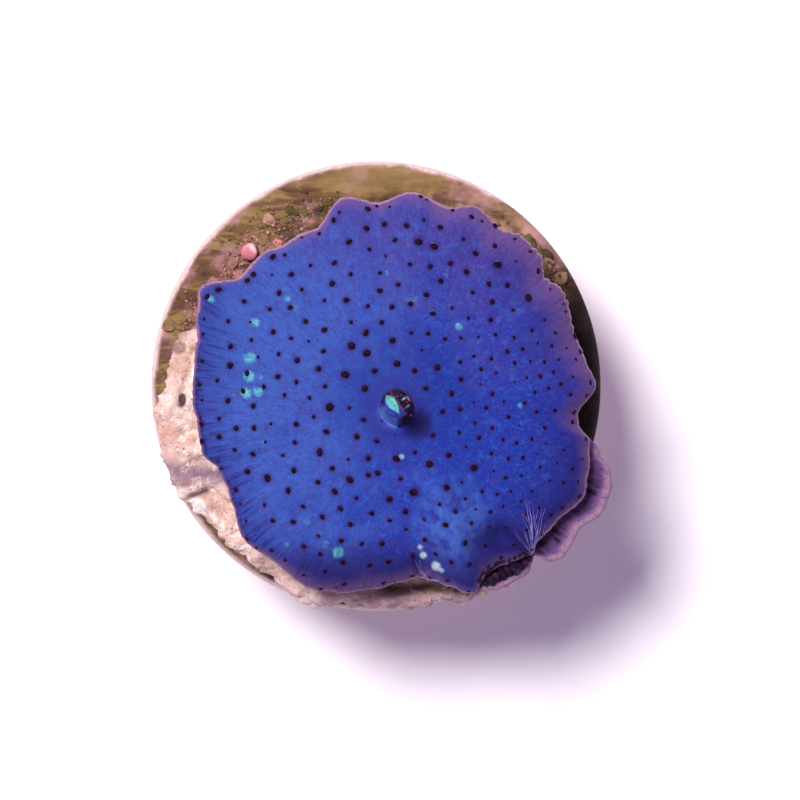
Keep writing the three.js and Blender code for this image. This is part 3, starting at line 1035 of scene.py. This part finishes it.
class CoralRockSettings(bpy.types.PropertyGroup):
    """The rubble rock."""

    roughness: length("Roughness", "Height of the rock's lumps", 0.42)
    rock: colour("Rock", "Colour of the bare aragonite", 248, 224, 212)
    rock_blush: colour("Blush", "Colour of the pink stain", 222, 182, 166)
    # This algal colour also stands for painted shade under the coral.
    rock_algae_and_shade: colour("Algae", "Colour of the algae in the rock's shade", 112, 96, 80)


class CoralPolypSettings(bpy.types.PropertyGroup):
    """The coral's flesh, tubercles and beads."""

    steps: bpy.props.IntProperty(
        name="Steps", description="Points round the disc", default=640, min=64)
    tubercles: bpy.props.IntProperty(
        name="Tubercles", description="How many tubercles stand on the disc", default=300, min=0)
    beads: bpy.props.IntProperty(
        name="Beads", description="How many beads sit in the folded lip", default=9, min=2)
    azure: colour("Azure", "Light flesh of the left side", 60, 88, 170)
    cobalt: colour("Cobalt", "Flesh round the mouth", 28, 51, 152)
    violet: colour("Violet", "Flesh of the upper right side", 68, 56, 136)
    indigo: colour("Indigo", "Dark lines and patches of the flesh", 34, 34, 118)
    cyan: colour("Cyan", "Bright blotches", 84, 184, 184)
    mauve: colour("Mauve", "The band along the margin", 114, 82, 128)
    edge: colour("Edge", "The thin pale edge", 176, 140, 150)
    dot: colour("Tubercles", "Top of the tubercles", 20, 4, 22)
    dot_edge: colour("Tubercle feet", "Foot of the tubercles", 56, 24, 92)


class CoralStageSettings(bpy.types.PropertyGroup):
    """Floor, lights and camera."""

    camera_height: length("Camera height", "Height of the camera above the floor", 320)
    view_width: length("View width", "Width seen at the plug's top", 53.2)
    key_strength: bpy.props.FloatProperty(
        name="Key light", description="Strength of the key light", default=3.7, min=0.0)
    fill_strength: bpy.props.FloatProperty(
        name="Fill light", description="Strength of the light all round", default=0.36, min=0.0)
    floor: colour("Floor", "Colour of the floor", 250, 247, 250)


# ---------------------------------------------------------------- pieces


class CORAL_OT_build_plug(bpy.types.Operator):
    """Turn the ceramic plug and lay its algal film"""

    bl_idname = "coral.build_plug"
    bl_label = "Build the plug"

    def execute(self, context):
        settings = context.scene.coral_plug
        low, high = (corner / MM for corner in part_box("plug"))
        profile, stem_top = self.profile(settings, low.z, high.z, high.x)
        steps = 300
        degrees = np.arange(steps) * 360.0 / steps
        radii = np.array([point[0] for point in profile])[:, None] * np.ones(steps)
        levels = np.array([point[1] for point in profile])[:, None] * np.ones(steps)
        points = around((0, 0), radii, levels, degrees)
        rough = fractal(points, 1.6, 5)
        on_top = ease(levels, high.z - 0.9, high.z - 0.3)
        seat = ease(radii, stem_top + 0.2, stem_top + 1.0) * (1 - on_top)
        layers = fractal(points * (0.35, 1.6, 1.0), 1.1, 3)
        # On the right, where the coral shades the plug, the dark film reaches over the rim as painted
        # shade.
        shaded = ease(np.cos(np.radians(degrees - 5)), 0.55, 0.85) * 0.5
        film_top = ease(levels + 2.6 * shaded, high.z - 0.9, high.z - 0.3)
        film = film_top * ease(radii + 0.2 * rough - shaded, high.x - 0.08, high.x - 0.42)
        relief = 0.03 * rough * (1 - seat) * ease(levels, 0.05, 0.5)
        points[..., 2] += on_top * (0.08 * layers * film + 0.08 * rough - 0.04)
        points[..., :2] *= 1 + (relief * (1 - on_top) / np.maximum(radii, 1.0))[..., None]
        finish_piece(rolled(points, {"film": film}), "frag_plug", plug_material(settings),
                     "plug")
        return {"FINISHED"}

    @staticmethod
    def profile(settings, low, high, radius):
        """The turned outline, foot to middle of the top, and the stem's top radius."""
        rounding = settings.head_rounding / MM
        foot = settings.stem_foot_radius / MM
        stem_top = settings.stem_top_radius / MM
        head = high - settings.head_thickness / MM
        edge = radius - rounding
        outline = [(0.0, low), (foot - 0.5, low), (foot - 0.15, 0.15), (foot, 0.5)]
        outline += [(mix(foot, stem_top, step / 8), mix(0.5, head - 0.25, step / 8))
                    for step in range(1, 9)]
        outline += [(stem_top + 0.08, head - 0.08), (stem_top + 0.3, head)]
        outline += [(mix(stem_top + 0.3, edge, step / 8), head) for step in range(1, 9)]
        for middle, first in ((head + rounding, -90), (high - rounding, 0)):
            for step in range(1, 11):
                angle = math.radians(first + 90 * step / 10)
                outline.append(
                    (edge + rounding * math.cos(angle), middle + rounding * math.sin(angle)))
        outline += [(edge * (1 - step / 70), high) for step in range(1, 71)]
        return outline, stem_top


class CORAL_OT_grow_turf(bpy.types.Operator):
    """Scatter short algal turf, coralline lumps and one round knob over the plug's top"""

    bl_idname = "coral.grow_turf"
    bl_label = "Grow the turf"

    # Beds of turf: degrees, distance from the plug's axis and spread in millimetres, mean shade.
    BEDS = [
        (126, 11.9, 1.8, 0.62), (118, 12.3, 1.3, 0.45), (136, 11.8, 1.6, 0.7),
        (112, 12.4, 1.0, 0.3), (148, 11.9, 1.6, 0.75), (128, 12.4, 2.2, 0.5),
        (42, 13.7, 0.9, 0.3), (36, 13.9, 0.8, 0.2), (158, 13.0, 1.2, 0.6), (157, 12.6, 1.0, 0.75),
    ]

    def execute(self, context):
        settings = context.scene.coral_plug
        chance = random.Random(SEED)
        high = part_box("plug")[1] / MM
        bm = bmesh.new()
        bm.verts.layers.float.new("shade")
        tuft = small_mesh(
            lambda part: bmesh.ops.create_icosphere(part, subdivisions=1, radius=1.0),
            "shade", lambda place: 0.0)
        lump = small_mesh(
            lambda part: bmesh.ops.create_icosphere(part, subdivisions=2, radius=1.0),
            "shade", lambda place: 0.0)
        for index in range(settings.tufts):
            middle, distance, spread, shade = chance.choice(self.BEDS)
            angle = math.radians(chance.gauss(middle, 5.5))
            radius = min(chance.gauss(distance, 0.45 * spread), high.x - 0.75)
            large = index % 14 == 0
            size = chance.uniform(0.3, 0.55) if large else chance.uniform(0.05, 0.16)
            flat = chance.uniform(0.06, 0.14) if large else chance.uniform(0.3, 0.7)
            place = Vector((radius * math.cos(angle), radius * math.sin(angle), high.z))
            turn = Matrix.Rotation(chance.uniform(0, math.tau), 4, "Z")
            matrix = Matrix.Translation(place) @ turn @ Matrix.Diagonal(
                (size, size * chance.uniform(0.6, 1.0), size * flat, 1.0))
            value = min(max(chance.gauss(shade, 0.2), 0.0), 0.92)
            for vert in stamp(bm, lump if large else tuft, matrix, "shade", value):
                vert.co += 0.5 * size * noise.noise_vector(vert.co / size * 0.9)
        self.knob(bm, Vector((-8.4, 8.9, high.z + 0.55)), 0.55)
        finish_piece(bm, "algal_turf", turf_material(settings), "plug")
        return {"FINISHED"}

    @staticmethod
    def knob(bm, place, size):
        """One round pink coralline knob, a little dented, with a painted highlight towards its upper
        right.
        """
        ball = small_mesh(
            lambda part: bmesh.ops.create_icosphere(part, subdivisions=4, radius=size),
            "shade", lambda place: 1.0)
        shade = bm.verts.layers.float["shade"]
        for vert in stamp(bm, ball, Matrix.Identity(4), "shade", 1.0):
            # Painted highlight: the knob's shade rises towards its upper right.
            vert[shade] = 0.95 + 0.05 * min(max((vert.co.x + vert.co.y) / size, 0.0), 1.0)
            vert.co *= 1 + 0.22 * noise.noise(vert.co * 2.4 + place)
            vert.co += place


class CORAL_OT_build_glue(bpy.types.Operator):
    """Spread the glue pad under the rock"""

    bl_idname = "coral.build_glue"
    bl_label = "Build the glue pad"

    def execute(self, context):
        low, high = (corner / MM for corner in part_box("glue_pad"))
        centre = ((low.x + high.x) / 2, (low.y + high.y) / 2)
        reach = (high.x - low.x) / 2
        steps = 220
        degrees = np.arange(steps) * 360.0 / steps
        turn = np.radians(degrees)
        wave = 1 + 0.05 * np.sin(3 * turn) + 0.04 * np.sin(5 * turn + 1) + 0.015 * np.sin(13 * turn)
        profile = [(0.0, low.z - 0.02), (0.7, low.z - 0.02), (0.985, low.z - 0.02)]
        profile += [(0.965 + 0.035 * math.cos(math.radians(angle)),
                     mix(low.z, high.z, 0.5 + 0.5 * math.sin(math.radians(angle))))
                    for angle in range(-75, 91, 15)]
        profile += [(0.7, high.z), (0.0, high.z)]
        radii = np.array([point[0] for point in profile])[:, None] * reach * wave
        levels = np.array([point[1] for point in profile])[:, None] * np.ones(steps)
        finish_piece(rolled(around(centre, radii, levels, degrees)), "glue_bead",
                     glue_material(context.scene.coral_plug), "glue_pad")
        return {"FINISHED"}


class CORAL_OT_build_rock(bpy.types.Operator):
    """Batter and pit the rubble rock, and colour its bands, algal growth and painted shade"""

    bl_idname = "coral.build_rock"
    bl_label = "Build the rock"

    # Reach of the rock round the coral's axis, at its turning points: degrees, millimetres.
    REACH = [
        (20, 8.8), (60, 8.6), (112, 10.6), (128, 12.4), (137, 13.4), (150, 13.4), (156, 14.2),
        (162, 15.4), (168, 15.5), (176, 15.7), (186, 15.8), (196, 15.5), (206, 14.8), (218, 14.2),
        (226, 13.6), (232, 13.4), (240, 14.1), (247, 14.0), (254, 13.35), (263, 13.1),
        (271, 13.05), (280, 12.9), (290, 13.4), (297, 13.5), (303, 13.8), (309, 13.2),
        (316, 11.0), (340, 9.2),
    ]

    def execute(self, context):
        settings = context.scene.coral_rock
        low, high = (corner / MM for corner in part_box("rubble_rock"))
        thick = high.z - low.z
        profile = [(0.0, 0.0), (0.4, 0.0), (0.7, 0.0), (0.85, 0.0), (0.93, 0.02)]
        profile += [(0.93 + 0.06 * math.sin(math.radians(angle)),
                     mix(0.04, 0.80, (1 - math.cos(math.radians(angle))) / 2))
                    for angle in range(10, 171, 8)]
        profile += [(mix(0.94, 0.42, (step / 60) ** 1.1), mix(0.80, 1.0, ease(step / 60, 0.0, 1.0)))
                    for step in range(1, 61)]
        profile += [(0.2, 1.0), (0.0, 1.0)]
        steps = 480
        degrees = np.arange(steps) * 360.0 / steps
        share = np.array([point[0] for point in profile])[:, None]
        radii = share * ring(self.REACH, degrees)
        levels = low.z + thick * np.array([point[1] for point in profile])[:, None] * np.ones(steps)
        points = around(AXIS, radii, levels, degrees)
        outside = ease(radii, 6.5, 9.0)
        exposed = outside * ease(levels, low.z + 0.02, low.z + 0.5)
        size = settings.roughness / MM
        coarse = fractal(points, 2.4, 3)
        rough = fractal(points, 0.8, 4)
        ledges = np.abs(fractal(points * (1.0, 1.0, 2.0), 1.6, 2))
        pit = self.pits(points) * outside
        x, y = points[..., 0], points[..., 1]
        hollow = mound(x, y, (0.5, -13.4), (7.5, -13.2), 0.5)
        drop = size * (1.1 * coarse + 0.6 * rough + 0.9 * ledges - 0.35)
        drop = drop - 0.42 * pit - 0.55 * hollow
        tilt = ease(share, 0.86, 0.99)
        points[..., 2] += exposed * drop * (1 - 0.7 * tilt)
        push = exposed * tilt * size * (0.9 * coarse + 0.9 * rough + 0.1)
        points[..., 0] += push * np.cos(np.radians(degrees))
        points[..., 1] += push * np.sin(np.radians(degrees))
        band = mound(x, y, (-14.0, -5.6), (-10.0, -5.9), 0.75)
        low_side = mound(x, y, (-13.2, -8.6), (-7.0, -15.0), 0.7) * ease(levels, high.z, high.z - 0.8)
        # Algal growth mixed with painted shade: in the groove under the margin, low on the lower-left
        # side and on a patch at the left.
        algae = np.maximum(hollow ** 2, 0.35 * low_side)
        algae = np.maximum(algae, 0.5 * mound(x, y, (-13.0, 3.6), (-11.6, 5.4), 0.7))
        finish_piece(
            rolled(points, {"pit": np.clip(pit, 0, 1) ** 1.5, "band": band, "algae": algae}),
            "rubble_rock_surface", rock_material(settings), "rubble_rock")
        return {"FINISHED"}

    @staticmethod
    def pits(points):
        """Depth of the larger hollows, and of many small ones worn by chance."""
        x, y = points[..., 0], points[..., 1]
        deep = (
            1.0 * mound(x, y, (-12.75, -0.75), (-12.75, -1.3), 0.26)
            + 0.8 * mound(x, y, (-13.1, 2.5), (-12.9, 2.4), 0.33)
            + 1.0 * mound(x, y, (-12.1, -7.2), (-11.2, -6.9), 0.26)
            + 0.8 * mound(x, y, (-11.6, -8.9), (-11.4, -9.1), 0.22))
        chance = random.Random(SEED)
        for _ in range(40):
            angle = math.radians(chance.uniform(120, 318))
            distance = chance.uniform(11.5, 15.5)
            centre = (AXIS[0] + distance * math.cos(angle), AXIS[1] + distance * math.sin(angle))
            size = chance.uniform(0.10, 0.24)
            deep = deep + chance.uniform(0.2, 0.6) * mound(
                x, y, centre, (centre[0] + chance.uniform(-0.4, 0.4), centre[1] + 0.01), size)
        return deep


class CORAL_OT_grow_polyp(bpy.types.Operator):
    """Grow the coral's foot, column, disc and folded margin as one body, with its mouth"""

    bl_idname = "coral.grow_polyp"
    bl_label = "Grow the coral"

    def execute(self, context):
        settings = context.scene.coral_polyp
        seat, top = coral_levels()
        degrees, form = coral_form(settings.steps, seat, top)
        points = around(AXIS, form.pop("radius"), form.pop("level"), degrees)
        x, y = points[..., 0] - AXIS[0], points[..., 1] - AXIS[1]
        form["cyan"] = blotches(x, y, CYAN_BLOTCHES)
        form["cream"] = blotches(x, y, CREAM_BLOTCHES)
        dots = tubercle_places(settings.tubercles, random.Random(SEED))
        form["halo"] = blotches(x, y, [(*dot[:2], 1.6 * dot[2], 1.0) for dot in dots])
        flesh = flesh_material(settings)
        finish_piece(rolled(points, form), "mushroom_flesh", flesh, "mushroom_polyp")
        finish_piece(rolled(mouth_points(120, top)), "mouth_bulb", flesh, "mushroom_polyp")
        return {"FINISHED"}


class CORAL_OT_set_tubercles(bpy.types.Operator):
    """Set the dark tubercles over the disc and the beads in the folded lip"""

    bl_idname = "coral.set_tubercles"
    bl_label = "Set the tubercles"

    def execute(self, context):
        settings = context.scene.coral_polyp
        chance = random.Random(SEED)
        bm = bmesh.new()
        bm.verts.layers.float.new("lift")
        dome = small_mesh(
            lambda part: bmesh.ops.create_uvsphere(part, u_segments=12, v_segments=7, radius=1.0),
            "lift", lambda place: max(place.z, 0.0))
        places = tubercle_places(settings.tubercles, chance)
        degrees, shares = polar(*np.array([place[:2] for place in places]).T)
        points, turns = disc_frames(degrees, np.minimum(shares, 0.995))
        for point, turn, (_, _, size) in zip(points, turns, places):
            oval = chance.uniform(1.0, 1.5)
            twist = Matrix.Rotation(math.radians(chance.gauss(0, 14)), 4, "Z")
            shape = Matrix.Diagonal((size * oval ** 0.5, size / oval ** 0.5, size * 0.38, 1.0))
            matrix = Matrix.Translation(point) @ turn.to_4x4() @ twist @ shape
            for vert in stamp(bm, dome, matrix):
                vert.co += 0.22 * size * noise.noise_vector(vert.co * (0.7 / size))
        finish_piece(bm, "tubercles", tubercle_material(settings), "mushroom_polyp")
        self.lip_beads(settings, chance)
        return {"FINISHED"}

    @staticmethod
    def lip_beads(settings, chance):
        """A row of round beads in the slit under the margin, and a row of dots above it."""
        bead = small_mesh(
            lambda part: bmesh.ops.create_uvsphere(part, u_segments=18, v_segments=12, radius=1.0))
        bm = bmesh.new()
        count = settings.beads
        degrees = np.linspace(297.2, 312.0, count)
        sections = disc_sections(degrees, coral_levels()[1])
        upper, lower = sections[EDGE_ROW], sections[-1]
        size = np.array([chance.uniform(0.24, 0.33) for _ in range(count)])
        size[0], size[-1] = 0.2, 0.2
        radius = mix(upper[0], lower[0], 0.5) + np.array([chance.uniform(-0.05, 0.05)
                                                         for _ in range(count)])
        level = upper[1] - 0.34
        for point, wide in zip(around(AXIS, radius, level, degrees), size):
            for vert in stamp(bm, bead, Matrix.Translation(point) @ Matrix.Scale(wide, 4)):
                vert.co += 0.3 * float(wide) * noise.noise_vector(vert.co * 3.5)
        above = np.linspace(296.0, 312.5, count + 1)
        shares = np.array([chance.uniform(0.972, 0.99) for _ in above])
        for point, turn in zip(*disc_frames(above, shares)):
            wide = chance.uniform(0.13, 0.2)
            shape = Matrix.Diagonal((1.5 * wide, wide, 0.5 * wide, 1.0))
            for vert in stamp(bm, bead, Matrix.Translation(point) @ turn.to_4x4() @ shape):
                vert.co += 0.25 * wide * noise.noise_vector(vert.co * 4.0)
        finish_piece(bm, "lip_beads", bead_material(settings), "mushroom_polyp")


class CORAL_OT_draw_stretch_lines(bpy.types.Operator):
    """Draw the thin ridges of stretched flesh at the pinch and beside the hump"""

    bl_idname = "coral.draw_stretch_lines"
    bl_label = "Draw the stretch lines"

    def execute(self, context):
        curve = bpy.data.curves.new("stretch_lines", "CURVE")
        curve.dimensions = "3D"
        curve.bevel_depth = 0.05 * MM
        curve.bevel_resolution = 2
        curve.use_fill_caps = True
        strands = [(*line, side) for line in STRETCH_LINES for side in (-1, 1)]
        for index, (weight, line, side) in enumerate(strands):
            knots = np.array(line)
            along = np.linspace(0, len(line) - 1, 3 * len(line) - 2)
            x, y = (np.interp(along, range(len(line)), knots[:, axis]) for axis in (0, 1))
            loose = 1 - along / along[-1]
            x = x + loose * (0.11 * side + 0.06 * np.sin(4.5 * along + 2.1 * index))
            points = (disc_points(*polar(x, y)) + (0, 0, 0.03)) * MM
            spline = curve.splines.new("NURBS")
            spline.points.add(len(points) - 1)
            for knot, point, thin in zip(spline.points, points, loose):
                knot.co = (*point, 1.0)
                knot.radius = weight * mix(0.85, 0.15, float(thin))
            spline.use_endpoint_u = True
            spline.order_u = 4
        place_piece(curve, "stretch_lines", stretch_material(context.scene.coral_polyp),
                    "mushroom_polyp")
        return {"FINISHED"}


class CORAL_OT_set_stage(bpy.types.Operator):
    """Lay the floor and set the soft light and the camera"""

    bl_idname = "coral.set_stage"
    bl_label = "Set the stage"

    def execute(self, context):
        settings = context.scene.coral_stage
        bm = bmesh.new()
        bmesh.ops.create_grid(bm, x_segments=8, y_segments=8, size=1.2)
        mesh = bpy.data.meshes.new("floor")
        bm.to_mesh(mesh)
        bm.free()
        mesh.materials.append(floor_material(settings))
        floor = bpy.data.objects.new("floor", mesh)
        context.scene.collection.objects.link(floor)
        self.key_light(context, settings)
        self.surroundings(context, settings)
        self.camera(context, settings)
        context.scene.view_settings.view_transform = "Standard"
        return {"FINISHED"}

    @staticmethod
    def key_light(context, settings):
        """A broad soft light from the upper left."""
        lamp = bpy.data.lights.new("key", "SUN")
        lamp.energy = settings.key_strength
        lamp.angle = math.radians(18)
        lamp.color = (1.0, 0.965, 0.95)
        light = bpy.data.objects.new("key", lamp)
        towards = Vector((-0.68, 0.73, math.tan(math.radians(64.5))))
        light.rotation_euler = towards.to_track_quat("Z", "Y").to_euler()
        context.scene.collection.objects.link(light)

    @staticmethod
    def surroundings(context, settings):
        """Even violet-tinged light from all round."""
        world = bpy.data.worlds.new("surroundings")
        world.use_nodes = True
        background = world.node_tree.nodes["Background"]
        background.inputs["Color"].default_value = (0.72, 0.60, 1.0, 1.0)
        background.inputs["Strength"].default_value = settings.fill_strength
        context.scene.world = world

    @staticmethod
    def camera(context, settings):
        """A long lens straight above, a little to the side of the plug's axis."""
        data = bpy.data.cameras.new("camera")
        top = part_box("plug")[1].z
        data.sensor_width = 36
        data.lens = 36 * (settings.camera_height - top) / settings.view_width
        camera = bpy.data.objects.new("camera", data)
        camera.location = (1.6 * MM, -0.94 * MM, settings.camera_height)
        context.scene.collection.objects.link(camera)
        context.scene.camera = camera


class CORAL_PT_panel(bpy.types.Panel):
    """Lists the coral's operators and settings"""

    bl_label = "Mushroom Coral"
    bl_idname = "CORAL_PT_panel"
    bl_space_type = "VIEW_3D"
    bl_region_type = "UI"
    bl_category = "Coral"

    def draw(self, context):
        column = self.layout.column()
        for operator in OPERATORS:
            column.operator(operator.bl_idname)
        for name in SETTINGS:
            box = self.layout.box()
            group = getattr(context.scene, name)
            for key in group.__annotations__:
                box.prop(group, key)


OPERATORS = (
    CORAL_OT_set_stage,
    CORAL_OT_build_plug,
    CORAL_OT_grow_turf,
    CORAL_OT_build_glue,
    CORAL_OT_build_rock,
    CORAL_OT_grow_polyp,
    CORAL_OT_set_tubercles,
    CORAL_OT_draw_stretch_lines,
)
SETTINGS = {
    "coral_plug": CoralPlugSettings,
    "coral_rock": CoralRockSettings,
    "coral_polyp": CoralPolypSettings,
    "coral_stage": CoralStageSettings,
}


def register():
    for group in SETTINGS.values():
        bpy.utils.register_class(group)
    for name, group in SETTINGS.items():
        setattr(bpy.types.Scene, name, bpy.props.PointerProperty(type=group))
    for operator in OPERATORS:
        bpy.utils.register_class(operator)
    bpy.utils.register_class(CORAL_PT_panel)


def unregister():
    bpy.utils.unregister_class(CORAL_PT_panel)
    for operator in reversed(OPERATORS):
        bpy.utils.unregister_class(operator)
    for name in SETTINGS:
        delattr(bpy.types.Scene, name)
    for group in reversed(SETTINGS.values()):
        bpy.utils.unregister_class(group)


def main():
    register()
    bpy.ops.coral.set_stage()
    bpy.ops.coral.build_plug()
    bpy.ops.coral.grow_turf()
    bpy.ops.coral.build_glue()
    bpy.ops.coral.build_rock()
    bpy.ops.coral.grow_polyp()
    bpy.ops.coral.set_tubercles()
    bpy.ops.coral.draw_stretch_lines()


if __name__ == "__main__":
    main()
